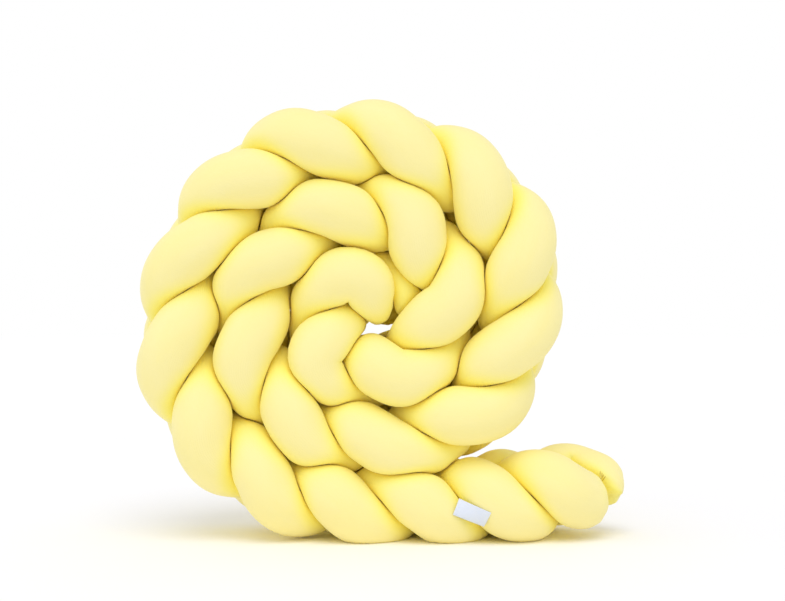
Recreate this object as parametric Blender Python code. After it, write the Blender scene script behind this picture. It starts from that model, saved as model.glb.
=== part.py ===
"""A crib bumper: three stuffed tubes of soft jersey in a flat plait, rolled up on edge.

The row of crossings runs along the middle of the plait, from the tail that lies on the floor,
clockwise round the roll and in to its eye. A strand swings from one long edge of the plait to
the other and back in three crossings. Its section is round where it is free, and gives way
where it meets another strand, another turn of its own, or the floor.
"""

from typing import NamedTuple

import bmesh
import bpy
import numpy as np
from mathutils import Vector
from mathutils.bvhtree import BVHTree


class Crossing(NamedTuple):
    """A point of the plait's middle line where a strand crosses its near edge, in metres."""

    x: float
    z: float


class Strand(NamedTuple):
    """One tube: the crossing where it first comes to the near edge, and how its ends lie.

    The ends are in crossings. A gather is what is left of the strand's swing at that end.
    """

    name: str
    first: int
    tail_end: float
    tail_gather: float
    eye_end: float
    eye_gather: float
    tail_shift: tuple = (0.0, 0.0, 0.0)  # how far its tail tip is pushed aside, in metres


COLLECTION = "crib_bumper"

# The roll, seen from its near edge. The first row lies one crossing before the first full lobe.
CROSSINGS = (
    # the tail on the floor
    Crossing(0.285, 0.020),
    Crossing(0.189, 0.047),
    Crossing(0.118, 0.040),
    Crossing(0.043, 0.039),
    Crossing(-0.042, 0.040),
    # up the left side and over the top
    Crossing(-0.120, 0.062),
    Crossing(-0.186, 0.120),
    Crossing(-0.213, 0.206),
    Crossing(-0.193, 0.299),
    Crossing(-0.141, 0.371),
    Crossing(-0.068, 0.407),
    Crossing(0.023, 0.402),
    Crossing(0.100, 0.360),
    Crossing(0.140, 0.288),
    Crossing(0.129, 0.200),
    # the second turn
    Crossing(0.086, 0.130),
    Crossing(-0.002, 0.101),
    Crossing(-0.092, 0.125),
    Crossing(-0.141, 0.200),
    Crossing(-0.123, 0.287),
    Crossing(-0.046, 0.339),
    Crossing(0.032, 0.323),
    Crossing(0.066, 0.240),
    # the eye
    Crossing(0.009, 0.170),
    Crossing(-0.069, 0.194),
    Crossing(-0.028, 0.272),
    Crossing(0.034, 0.234),
)
FIRST_ROW = -1

STRANDS = (
    Strand("strand_a", 0, tail_end=-0.41, tail_gather=0.35, eye_end=24.62, eye_gather=0.90,
           tail_shift=(0.005, 0.0, 0.0)),
    Strand("strand_b", 1, tail_end=-0.63, tail_gather=0.15, eye_end=24.95, eye_gather=0.30,
           tail_shift=(0.003, -0.020, 0.015)),
    Strand("strand_c", 2, tail_end=-0.24, tail_gather=0.60, eye_end=24.85, eye_gather=0.60,
           tail_shift=(0.002, 0.008, 0.003)),
)

# The plait
EDGE_SWING = 0.052  # a strand's swing from the middle line to each long edge
FACE_SWING = 0.014  # and to each broad face, less where the crossings are closer than this:
FULL_PITCH = 0.075
GATHER_LENGTH = 0.7  # of the stretch where a strand comes in to its end, in crossings

# The tubes
TUBE_DEPTH = 0.065  # free tube, from edge to edge of the plait
TUBE_THICKNESS = 0.061  # and from face to face
SQUEEZE = 8.0  # how sharply a tube turns where it is pressed flat
BULGE = 0.2  # how much of its filling a pressed tube keeps there: 0 is none, 0.5 is all of it
BULGE_REACH = 0.008  # how far along a tube the filling is pushed aside
MOST_BULGE = 1.3
TUBE_GAP = 0.0030  # between two pressed tubes at their rings, which the facets between narrow
OWN_TURN = 0.028  # a tube's own length within this distance doesn't press on itself
TAIL_ROUNDING = 0.036  # length over which a tube's end closes
EYE_ROUNDING = 0.026

# The facets
RING_SPACING = 0.0132
SIDES = 12
END_RINGS = (0.0018, 0.0075, 0.0165)  # from a tube's tip
LINE_SPACING = 0.005  # of the points that stand for a neighbouring strand

# The label, a ribbon folded in two that lies across the crease between two lobes
LABEL_LENGTH = 0.034
LABEL_WIDTH = 0.017
LABEL_THICKNESS = 0.0012
LABEL_CENTRE = Crossing(0.088, 0.033)
LABEL_SLOPE = -0.42  # rise over run of its long side
LABEL_GAP = 0.0005
LABEL_STEPS = (14, 6)
LABEL_REACH = 4  # steps past its edges over which the lobes hold it up

JERSEY = (0.92, 0.83, 0.33, 1.0)
RIBBON = (0.74, 0.78, 0.90, 1.0)


def spline(rows, at):
    """Catmull-Rom curve through the rows, straight past the last ones; at is in rows."""
    rows = np.vstack([2 * rows[0] - rows[1], rows, 2 * rows[-1] - rows[-2]])
    at = np.clip(at + 1, 1, len(rows) - 2.000001)
    row = np.floor(at).astype(int)
    t = (at - row)[:, None]
    a, b, c, d = (rows[row + step] for step in (-1, 0, 1, 2))
    return 0.5 * (2 * b + (c - a) * t + (2 * a - 5 * b + 4 * c - d) * t**2
                  + (3 * b - a - 3 * c + d) * t**3)


def middle_line(at):
    """Points of the plait's middle line in x and z, and the way out from the roll there."""
    rows = np.array(CROSSINGS)
    step = 0.02
    points = spline(rows, at - FIRST_ROW)
    along = spline(rows, at - FIRST_ROW + step) - spline(rows, at - FIRST_ROW - step)
    along /= np.linalg.norm(along, axis=1)[:, None]
    return points, np.stack([-along[:, 1], along[:, 0]], axis=1)


def face_swing(at):
    """The swing towards the broad faces, which shrinks with the pitch of the crossings."""
    rows = np.array(CROSSINGS)
    near = 0.3
    ahead, behind = (spline(rows, at - FIRST_ROW + step) for step in (near, -near))
    pitch = np.linalg.norm(ahead - behind, axis=1) / (2 * near)
    return FACE_SWING * np.minimum(pitch / FULL_PITCH, 1)


def eased(t):
    """0 to 1 with a soft start and end."""
    t = np.clip(t, 0, 1)
    return t * t * (3 - 2 * t)


def near_tail(strand, at):
    """1 at a strand's tail tip, falling to 0 along its gathered stretch."""
    return eased(1 - (at - strand.tail_end) / GATHER_LENGTH)


def gather(strand, at):
    """The part of its swing that is left as a strand comes in to its ends."""
    at_tail = (1 - strand.tail_gather) * near_tail(strand, at)
    at_eye = (1 - strand.eye_gather) * eased(1 - (strand.eye_end - at) / GATHER_LENGTH)
    return 1 - at_tail - at_eye


def strand_line(strand, at):
    """Points of a strand's own middle line."""
    points, out = middle_line(at)
    turn = 2 * np.pi * (at - strand.first) / 3
    swing = gather(strand, at)
    points = points - (face_swing(at) * swing * np.sin(2 * turn))[:, None] * out
    depth = -EDGE_SWING * swing * np.cos(turn)
    shift = near_tail(strand, at)[:, None] * np.array(strand.tail_shift)
    return np.stack([points[:, 0], depth, points[:, 1]], axis=1) + shift


def stations(strand, spacing, end_rings=()):
    """Where a strand's rings lie: in crossings, and in metres from its tail end."""
    fine = np.linspace(strand.tail_end, strand.eye_end, 4000)
    steps = np.linalg.norm(np.diff(strand_line(strand, fine), axis=0), axis=1)
    run = np.concatenate([[0], np.cumsum(steps)])
    length = run[-1]
    inset = 2 * end_rings[-1] - end_rings[-2] if end_rings else 0.0
    count = int(round((length - 2 * inset) / spacing)) + 1
    ends = np.array(end_rings)
    places = np.concatenate([ends, np.linspace(inset, length - inset, count), length - ends[::-1]])
    return np.interp(places, run, fine), places, length


def side_angles():
    """The angle of each ray from the depth direction; two rays straddle the lowest point."""
    return 2 * np.pi * (np.arange(SIDES) + 0.5) / SIDES


def ray_fan(along):
    """Unit rays square to the strand, as rings by sides by xyz."""
    depth = np.array([0.0, 1.0, 0.0])
    first = depth - along * (along @ depth)[:, None]
    first /= np.linalg.norm(first, axis=1)[:, None]
    second = np.cross(along, first)
    angle = side_angles()[None, :, None]
    return first[:, None] * np.cos(angle) + second[:, None] * np.sin(angle)


def pressed_radii(points, rays, own_line, own_ahead, other_lines):
    """How far each ray runs before it meets the middle plane to any neighbouring point."""
    limit = np.full(rays.shape[:2], np.inf)
    for line, near in [(own_line, own_ahead)] + [(line, None) for line in other_lines]:
        for ring, (point, fan) in enumerate(zip(points, rays)):
            apart = line - point
            facing = np.maximum(fan @ apart.T, 1e-9)
            reach = (apart**2).sum(axis=1) / (2 * facing)
            if near is not None:
                reach[:, near[ring]] = np.inf
            limit[ring] = np.minimum(limit[ring], reach.min(axis=1))
    return limit - TUBE_GAP / 2


def swollen(free, radii, places):
    """The free radii, made larger where a pressed section has lost area to its neighbours."""
    share = ((free**2).mean() / (radii**2).mean(axis=1)) ** BULGE
    weight = np.exp(-0.5 * ((places[:, None] - places) / BULGE_REACH) ** 2)
    share = weight @ share / weight.sum(axis=1)
    return free * np.minimum(share, MOST_BULGE)[:, None]


def soft_minimum(free, pressed):
    """The lesser of two radii, with a soft turn from one to the other."""
    return (free**-SQUEEZE + pressed**-SQUEEZE) ** (-1 / SQUEEZE)


def end_taper(places, length):
    """1 along the tube, falling to 0 as a quarter ellipse at each end."""
    taper = np.ones(len(places))
    for distance, rounding in ((places, TAIL_ROUNDING), (length - places, EYE_ROUNDING)):
        taper *= np.sqrt(1 - (1 - np.clip(distance / rounding, 0, 1)) ** 2)
    return taper


def strand_rings(strand, lines):
    """The rings of a strand's surface and its two tips; lines holds every strand's fine line."""
    at, places, length = stations(strand, RING_SPACING, END_RINGS)
    points = strand_line(strand, at)
    along = strand_line(strand, at + 0.01) - strand_line(strand, at - 0.01)
    along /= np.linalg.norm(along, axis=1)[:, None]
    rays = ray_fan(along)

    own_line, own_places = lines[strand.name]
    own_ahead = np.abs(own_places[None] - places[:, None]) < OWN_TURN
    others = [line for name, (line, _) in lines.items() if name != strand.name]
    pressed = pressed_radii(points, rays, own_line, own_ahead, others)

    angle = side_angles()
    free = 1 / np.hypot(np.cos(angle) * 2 / TUBE_DEPTH, np.sin(angle) * 2 / TUBE_THICKNESS)
    free = swollen(free, soft_minimum(free, pressed), places)
    radii = soft_minimum(free, pressed) * end_taper(places, length)[:, None]
    down = np.maximum(-rays[:, :, 2], 1e-9)
    radii = np.minimum(radii, points[:, 2:3] / down)

    tips = strand_line(strand, np.array([strand.tail_end, strand.eye_end]))
    return points[:, None] + rays * radii[:, :, None], radii, tips


def as_object(name, shape):
    """The finished object of a closed bmesh, which is freed."""
    bmesh.ops.recalc_face_normals(shape, faces=shape.faces)
    mesh = bpy.data.meshes.new(name)
    shape.to_mesh(mesh)
    shape.free()
    return bpy.data.objects.new(name, mesh)


def loft(name, rings, radii, tips):
    """An object whose closed surface runs through the rings, from tip to tip.

    Each cell between two rings is split along its lower diagonal, so that no facet bulges out
    over the true surface.
    """
    shape = bmesh.new()
    loops = [[shape.verts.new(point) for point in ring] for ring in rings]
    for ring, (lower, upper) in enumerate(zip(loops, loops[1:])):
        for side in range(len(lower)):
            a, b, c, d = lower[side - 1], lower[side], upper[side], upper[side - 1]
            rising = radii[ring, side - 1] + radii[ring + 1, side]
            falling = radii[ring, side] + radii[ring + 1, side - 1]
            for corners in ((a, b, c), (a, c, d)) if rising < falling else ((a, b, d), (b, c, d)):
                shape.faces.new(corners)
    for tip, loop in ((tips[0], loops[0]), (tips[1], loops[-1])):
        apex = shape.verts.new(tip)
        for side in range(len(loop)):
            shape.faces.new((apex, loop[side - 1], loop[side]))
    tube = as_object(name, shape)
    tube.data.shade_smooth()
    return tube


def strand_objects():
    """The three tubes."""
    lines = {}
    for strand in STRANDS:
        at, places, _ = stations(strand, LINE_SPACING)
        lines[strand.name] = (strand_line(strand, at), places)
    return [loft(strand.name, *strand_rings(strand, lines)) for strand in STRANDS]


def front_depth(objects, points):
    """The depth y at which the objects are first met behind each point in x and z, else 0."""
    trees = []
    for piece in objects:
        corners = [vertex.co for vertex in piece.data.vertices]
        faces = [list(polygon.vertices) for polygon in piece.data.polygons]
        trees.append(BVHTree.FromPolygons(corners, faces))
    depths = []
    for x, z in points:
        hits = [tree.ray_cast(Vector((x, -1.0, z)), Vector((0.0, 1.0, 0.0)))[0] for tree in trees]
        depths.append(min((hit.y for hit in hits if hit is not None), default=0.0))
    return np.array(depths)


def taut(run, depth):
    """The shape that a strip takes when it is drawn tight over the depths along its run."""
    count = len(run)
    tight = depth.copy()
    for first in range(count):
        for last in range(first + 1, count):
            part = (run[first:last + 1] - run[first]) / (run[last] - run[first])
            chord = depth[first] + part * (depth[last] - depth[first])
            tight[first:last + 1] = np.minimum(tight[first:last + 1], chord)
    return tight


def label_depth(strands):
    """The label's back as columns by rows of x, y and z: drawn tight over the lobes under it."""
    counts = np.array(LABEL_STEPS)
    step = np.array([LABEL_LENGTH, LABEL_WIDTH]) / counts
    run, rise = (step[axis] * (np.arange(-LABEL_REACH, counts[axis] + LABEL_REACH + 1)
                               - counts[axis] / 2) for axis in (0, 1))
    across = np.array([1.0, LABEL_SLOPE]) / np.hypot(1.0, LABEL_SLOPE)
    upward = np.array([-across[1], across[0]])
    flat = np.array(LABEL_CENTRE) + run[:, None, None] * across + rise[None, :, None] * upward
    lobes = front_depth(strands, flat.reshape(-1, 2)).reshape(flat.shape[:2])
    depth = lobes
    for _ in range(2):
        depth = np.stack([taut(run, row) for row in depth.T], axis=1)
        depth = np.stack([taut(rise, column) for column in depth])
    inside = slice(LABEL_REACH, -LABEL_REACH)
    lift = (lobes - depth)[inside, inside].min() - LABEL_GAP
    back = np.stack([flat[:, :, 0], depth + lift, flat[:, :, 1]], axis=2)
    return back[inside, inside]


def label_object(strands):
    """The ribbon as a thin slab, its two layers in one."""
    back = label_depth(strands)
    front = back - np.array([0.0, LABEL_THICKNESS, 0.0])
    shape = bmesh.new()
    loops = [[shape.verts.new(point) for point in np.vstack([behind, before[::-1]])]
             for behind, before in zip(back, front)]
    for left, right in zip(loops, loops[1:]):
        for side in range(len(left)):
            shape.faces.new((left[side - 1], left[side], right[side], right[side - 1]))
    for loop in (loops[0], loops[-1]):
        for row in range(LABEL_STEPS[1]):
            shape.faces.new((loop[row], loop[row + 1], loop[-2 - row], loop[-1 - row]))
    return as_object("label", shape)


def cloth(name, colour, roughness):
    """A matte Principled material."""
    material = bpy.data.materials.new(name)
    material.use_nodes = True
    principled = material.node_tree.nodes["Principled BSDF"]
    principled.inputs["Base Color"].default_value = colour
    principled.inputs["Roughness"].default_value = roughness
    principled.inputs["Metallic"].default_value = 0.0
    return material


def main():
    """Builds the strands, lays the label on them and puts all in one collection."""
    for old in list(bpy.data.objects):
        bpy.data.objects.remove(old, do_unlink=True)
    collection = bpy.data.collections.new(COLLECTION)
    bpy.context.scene.collection.children.link(collection)

    strands = strand_objects()
    for strand in strands:
        strand.data.materials.append(cloth(f"{strand.name}_jersey", JERSEY, 0.9))
    label = label_object(strands)
    label.data.materials.append(cloth("label_ribbon", RIBBON, 0.75))
    for piece in strands + [label]:
        collection.objects.link(piece)


main()
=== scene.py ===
"""Looks of a braided crib bumper: three stuffed jersey tubes in a flat plait, rolled up on edge.

Each tube is a skin of brushed cotton jersey over soft filling. Its middle line swings from one
long edge of the plait to the other, and its section is round where it is free and flat where it
meets another tube, another turn of its own or the floor. A folded satin ribbon is sewn across the
crease between two lobes near the tail, and hand stitches close the tubes at both ends.

Lengths are in metres, with +Z up and the near edge of the plait towards -Y.
"""

import logging
import math
from dataclasses import dataclass, field
from enum import Enum
from typing import NamedTuple

import bpy
import numpy as np
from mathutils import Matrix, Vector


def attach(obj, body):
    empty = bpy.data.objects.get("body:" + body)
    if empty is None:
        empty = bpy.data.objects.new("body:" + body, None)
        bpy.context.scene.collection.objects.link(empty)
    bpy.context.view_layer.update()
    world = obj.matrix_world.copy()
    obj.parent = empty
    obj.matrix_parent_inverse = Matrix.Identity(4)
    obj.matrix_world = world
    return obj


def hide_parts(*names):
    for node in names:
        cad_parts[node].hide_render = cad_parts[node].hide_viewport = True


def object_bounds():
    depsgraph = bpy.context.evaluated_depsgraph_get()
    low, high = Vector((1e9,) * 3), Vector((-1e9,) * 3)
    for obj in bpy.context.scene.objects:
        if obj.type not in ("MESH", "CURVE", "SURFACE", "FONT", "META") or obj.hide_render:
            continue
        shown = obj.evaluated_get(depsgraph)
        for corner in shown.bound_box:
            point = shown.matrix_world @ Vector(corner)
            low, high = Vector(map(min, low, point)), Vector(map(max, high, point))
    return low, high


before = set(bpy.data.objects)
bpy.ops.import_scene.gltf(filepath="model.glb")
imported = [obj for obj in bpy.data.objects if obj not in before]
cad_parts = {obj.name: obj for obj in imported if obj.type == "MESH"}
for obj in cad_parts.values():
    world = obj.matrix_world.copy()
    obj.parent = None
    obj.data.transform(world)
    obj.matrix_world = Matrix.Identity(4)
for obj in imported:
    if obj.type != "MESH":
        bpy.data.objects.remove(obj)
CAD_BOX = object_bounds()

LOG = logging.getLogger("crib_bumper")

MM = 0.001
TURN = 2 * math.pi
WAVE_STEPS = 20  # a Wave texture's bands lie a full turn over this many times its scale apart
BODY = "root"
CLOTH_MAP = "cloth"  # the UV map of every sewn piece, in metres around and along it
# the share of painted crease shade on the cloth, as a deeper, more saturated yellow
CREASE_SHADE_MASK = "pressed"  # 0 where a tube is free, 1 where it lies hard against its neighbour
SEAM_DISTANCE = "seam_distance"  # metres from a tube's lengthwise seam


class Crossing(NamedTuple):
    """A point of the plait's middle line where a tube crosses its near edge."""

    x: float
    z: float


# The roll, seen from its near edge. The first row lies one crossing before the first full lobe.
CROSSINGS = (
    # the tail on the floor
    Crossing(0.285, 0.020),
    Crossing(0.189, 0.047),
    Crossing(0.118, 0.040),
    Crossing(0.043, 0.039),
    Crossing(-0.042, 0.040),
    # up the left side and over the top
    Crossing(-0.120, 0.062),
    Crossing(-0.186, 0.120),
    Crossing(-0.213, 0.206),
    Crossing(-0.193, 0.299),
    Crossing(-0.141, 0.371),
    Crossing(-0.068, 0.407),
    Crossing(0.023, 0.402),
    Crossing(0.100, 0.360),
    Crossing(0.140, 0.288),
    Crossing(0.129, 0.200),
    # the second turn
    Crossing(0.086, 0.130),
    Crossing(-0.002, 0.101),
    Crossing(-0.092, 0.125),
    Crossing(-0.141, 0.200),
    Crossing(-0.123, 0.287),
    Crossing(-0.046, 0.339),
    Crossing(0.032, 0.323),
    Crossing(0.066, 0.240),
    # the eye
    Crossing(0.009, 0.170),
    Crossing(-0.069, 0.194),
    Crossing(-0.028, 0.272),
    Crossing(0.034, 0.234),
)


class Side(Enum):
    """The plait's long edges; the value is the way along Y that a look at one goes."""

    NEAR = 1.0
    FAR = -1.0


# -------------------------- Meshes --------------------------


def unit(vectors: np.ndarray) -> np.ndarray:
    """The vectors, each divided by its length."""
    return vectors / np.linalg.norm(vectors, axis=-1, keepdims=True)


def eased(t: np.ndarray) -> np.ndarray:
    """0 to 1 with a soft start and end: 3 t squared less 2 t cubed."""
    t = np.clip(t, 0, 1)
    return t * t * (3 - 2 * t)


def bell(distance: np.ndarray, reach: float) -> np.ndarray:
    """A bell curve of the distance with this standard deviation, 1 at its top."""
    return np.exp(-0.5 * (distance / reach) ** 2)


def around_circle(count: int) -> np.ndarray:
    """Evenly spaced angles from 0 to just short of a full turn."""
    return TURN * np.arange(count) / count


def upright(flat: np.ndarray, depth: np.ndarray | float) -> np.ndarray:
    """Points from places seen from the front, as x and z, and their depths y."""
    return np.stack(np.broadcast_arrays(flat[..., 0], depth, flat[..., 1]), axis=-1)


def quads(index: np.ndarray) -> np.ndarray:
    """The four corners of each cell of a grid of numbers, rows by columns, facing outwards."""
    return np.stack([index[..., :-1, :-1], index[..., :-1, 1:],
                     index[..., 1:, 1:], index[..., 1:, :-1]], axis=-1)


def numbered(*shape: int, wraps: bool = False) -> np.ndarray:
    """A grid of running numbers, with its first column again at the end if it wraps."""
    index = np.arange(math.prod(shape)).reshape(shape)
    return np.concatenate([index, index[..., :1]], axis=-1) if wraps else index


def grid_object(
    name: str,
    points: np.ndarray,
    uv: np.ndarray,
    wraps: bool = False,
    tips: np.ndarray | None = None,
) -> bpy.types.Object:
    """Makes a mesh object of a grid of points.

    The cell between rows r and r + 1 and columns c and c + 1 is one quad, which faces the way
    that columns cross rows. With tips, a fan of triangles closes the first and the last row.

    Args:
        name: The object's name.
        points: The places, as rows by columns by xyz.
        uv: The UV places, as rows by columns by uv, with one more column if the grid wraps.
        wraps: Whether the last column joins the first.
        tips: The two points that close the first and the last row.

    Returns:
        The smooth-shaded object, linked to the scene.
    """
    index = numbered(*points.shape[:2], wraps=wraps)
    cells = quads(index)
    quad_uv = uv.reshape(-1, 2)[quads(numbered(*uv.shape[:2]))]
    corners, corner_uv = [cells.reshape(-1)], [quad_uv.reshape(-1, 2)]
    sizes = [np.full(cells[..., 0].size, 4)]
    places = points.reshape(-1, 3)

    if tips is not None:
        for row, tip, way in ((0, len(places), -1), (-1, len(places) + 1, 1)):
            rim, rim_uv = (index[row, :-1], index[row, 1:]), (uv[row, :-1], uv[row, 1:])
            fan = np.stack([*rim, np.full_like(rim[0], tip)], axis=-1)[:, ::way]
            fan_uv = np.stack([*rim_uv, sum(rim_uv) / 2], axis=1)[:, ::way]
            corners.append(fan.reshape(-1))
            corner_uv.append(fan_uv.reshape(-1, 2))
            sizes.append(np.full(len(fan), 3))
        places = np.concatenate([places, tips])

    return mesh_object(name, places, np.concatenate(corners), np.concatenate(sizes),
                       np.concatenate(corner_uv))


def mesh_object(
    name: str,
    places: np.ndarray,
    corners: np.ndarray,
    sizes: np.ndarray,
    corner_uv: np.ndarray,
) -> bpy.types.Object:
    """Fills a mesh from whole arrays and links an object of it.

    Args:
        name: The object's name.
        places: The vertices, as count by xyz.
        corners: The vertex of each face corner, face after face.
        sizes: The number of corners of each face.
        corner_uv: The UV place of each face corner.

    Returns:
        The smooth-shaded object, at the origin.
    """
    mesh = bpy.data.meshes.new(name)
    mesh.vertices.add(len(places))
    mesh.vertices.foreach_set("co", places.astype(np.float32).ravel())
    mesh.loops.add(len(corners))
    mesh.loops.foreach_set("vertex_index", corners.astype(np.int32))
    mesh.polygons.add(len(sizes))
    starts = np.concatenate([[0], np.cumsum(sizes)[:-1]])
    mesh.polygons.foreach_set("loop_start", starts.astype(np.int32))
    mesh.update(calc_edges=True)
    mesh.uv_layers.new(name=CLOTH_MAP).uv.foreach_set("vector", corner_uv.astype(np.float32).ravel())
    mesh.validate()
    mesh.shade_smooth()
    return link_object(name, mesh)


def link_object(name: str, data: bpy.types.ID) -> bpy.types.Object:
    """Puts a new object into the scene.

    Args:
        name: The object's name.
        data: Its mesh, light or camera.

    Returns:
        The object, at the origin.
    """
    made = bpy.data.objects.new(name, data)
    bpy.context.scene.collection.objects.link(made)
    return made


def set_attribute(piece: bpy.types.Object, name: str, values: np.ndarray) -> None:
    """Stores one number for each vertex of a piece."""
    layer = piece.data.attributes.new(name, "FLOAT", "POINT")
    layer.data.foreach_set("value", values.astype(np.float32).ravel())


def arc_run(points: np.ndarray) -> np.ndarray:
    """The length of a line of points up to each of them."""
    steps = np.linalg.norm(np.diff(points, axis=0), axis=1)
    return np.concatenate([[0], np.cumsum(steps)])


def threads_object(name: str, paths: np.ndarray, radius: float) -> bpy.types.Object:
    """Makes one object of many short round threads, each swept along its path.

    A thread's section is a circle square to its path, and closes down to a small flat cap at
    both tips, as the square root of 1.02 less the eighth power of the way from its middle.

    Args:
        name: The object's name.
        paths: The paths, as threads by points by xyz.
        radius: Half the thread's thickness.

    Returns:
        The smooth-shaded object, linked to the scene.
    """
    sides, cap = 8, 0.02
    count, steps = paths.shape[:2]
    along = unit(np.gradient(paths, axis=1))
    side = unit(np.cross(np.array([0.0, -1.0, 0.0]), along))
    lift = np.cross(along, side)
    turn = around_circle(sides)
    swell = radius * np.sqrt(1 + cap - np.linspace(-1, 1, steps) ** 8)[None, :, None, None]
    ring = (side[:, :, None] * np.cos(turn)[None, None, :, None]
            + lift[:, :, None] * np.sin(turn)[None, None, :, None])
    places = paths[:, :, None] + swell * ring

    run = np.concatenate([np.zeros((count, 1)), np.cumsum(
        np.linalg.norm(np.diff(paths, axis=1), axis=2), axis=1)], axis=1)
    uv = np.stack(np.broadcast_arrays(radius * np.append(turn, TURN), run[:, :, None]), axis=-1)
    index = numbered(count, steps, sides, wraps=True)
    cells = quads(index)
    quad_uv = uv.reshape(-1, 2)[quads(numbered(*uv.shape[:3]))]
    caps, cap_uv = (np.concatenate([grid[:, 0, sides - 1::-1], grid[:, -1, :sides]])
                    for grid in (index, uv))
    return mesh_object(
        name, places.reshape(-1, 3), np.concatenate([cells.reshape(-1), caps.reshape(-1)]),
        np.concatenate([np.full(cells[..., 0].size, 4), np.full(len(caps), sides)]),
        np.concatenate([quad_uv.reshape(-1, 2), cap_uv.reshape(-1, 2)]))


def stitch_rise(part: np.ndarray, radius: float, crown: float) -> np.ndarray:
    """A stitch's height over the cloth, which falls as the fourth power of the way to a tip."""
    sunk = 0.9  # of the radius by which its tips go into the cloth
    return radius * (crown * (1 - (2 * part) ** 4) - sunk)


def depth_behind(piece: bpy.types.Object, points: np.ndarray, side: Side = Side.NEAR) -> np.ndarray:
    """The depth at which a line along Y first meets a piece, by the projecting Shrinkwrap.

    Args:
        piece: The piece that is looked at.
        points: The starts of the lines, clear of the piece, as count by xyz.
        side: The edge that is looked at, from outside.

    Returns:
        The depth y for each point, and infinity beyond the piece where the line misses it.
    """
    mesh = bpy.data.meshes.new("probe")
    mesh.vertices.add(len(points))
    mesh.vertices.foreach_set("co", points.astype(np.float32).ravel())
    probe = link_object("probe", mesh)
    wrap = probe.modifiers.new("project", "SHRINKWRAP")
    wrap.target = piece
    wrap.wrap_method = "PROJECT"
    wrap.use_project_y = True
    wrap.use_negative_direction = side is Side.FAR
    wrap.use_positive_direction = side is Side.NEAR
    evaluated = probe.evaluated_get(bpy.context.evaluated_depsgraph_get())
    found = np.zeros(len(points) * 3, np.float32)
    evaluated.data.vertices.foreach_get("co", found)
    bpy.data.objects.remove(probe, do_unlink=True)
    bpy.data.meshes.remove(mesh)
    depth = found.reshape(-1, 3)[:, 1].astype(float)
    moved = np.abs(depth - points[:, 1]) > 1e-6  # a line that misses leaves its point in place
    return np.where(moved, depth, side.value * np.inf)


def taut(run: np.ndarray, depth: np.ndarray) -> np.ndarray:
    """Draws strips tight over the depths that they lie on.

    The tight depth at a place is the least depth there of any chord between a place before it
    and a place after it.

    Args:
        run: The places along a strip.
        depth: The depths, as strips by places.

    Returns:
        The tight depths, as strips by places.
    """
    first, last, at = run[:, None, None], run[None, :, None], run[None, None, :]
    part = (at - first) / np.where(last > first, last - first, np.inf)
    between = (first <= at) & (at <= last) & (last > first)
    chords = (depth[:, :, None, None] * (1 - part) + depth[:, None, :, None] * part)
    chords = np.where(between, chords, np.inf)
    return np.minimum(depth, chords.min(axis=(1, 2)))


# ------------------------- Finishes -------------------------


def linear(colour: str) -> tuple[float, float, float, float]:
    """The linear colour, with an alpha of 1, of an sRGB hex value such as "#FBE56E"."""
    shares = [int(colour[at:at + 2], 16) / 255 for at in (1, 3, 5)]
    return tuple(s / 12.92 if s <= 0.04045 else ((s + 0.055) / 1.055) ** 2.4 for s in shares) + (1.0,)


def add_node(
    tree: bpy.types.NodeTree,
    kind: str,
    sockets: dict | None = None,
    **settings: object,
) -> bpy.types.Node:
    """Adds a node to a tree.

    Args:
        tree: The node tree.
        kind: The node's type name.
        sockets: Values for the input sockets by name or number; an output socket is linked.
        **settings: The node's own properties.

    Returns:
        The node.
    """
    node = tree.nodes.new(kind)
    for name, value in settings.items():
        setattr(node, name, value)
    for key, value in (sockets or {}).items():
        if isinstance(value, bpy.types.NodeSocket):
            tree.links.new(value, node.inputs[key])
        else:
            node.inputs[key].default_value = value
    return node


def band_scale(pitch: float) -> float:
    """The scale of a Wave texture whose bands lie this far apart."""
    return TURN / (WAVE_STEPS * pitch)


def empty_material(name: str) -> tuple[bpy.types.Material, bpy.types.NodeTree]:
    """Makes a material with no nodes yet.

    Args:
        name: The material's name.

    Returns:
        The material and its node tree.
    """
    material = bpy.data.materials.new(name)
    material.use_nodes = True
    material.node_tree.nodes.clear()
    return material, material.node_tree


def finish_material(tree: bpy.types.NodeTree, **sockets: object) -> None:
    """Adds the Principled shader and the output.

    Args:
        tree: The node tree.
        **sockets: Values for the shader's input sockets, named with _ for a space.
    """
    named = {name.replace("_", " "): value for name, value in sockets.items()}
    shader = add_node(tree, "ShaderNodeBsdfPrincipled", named)
    add_node(tree, "ShaderNodeOutputMaterial", {"Surface": shader.outputs["BSDF"]})


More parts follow.
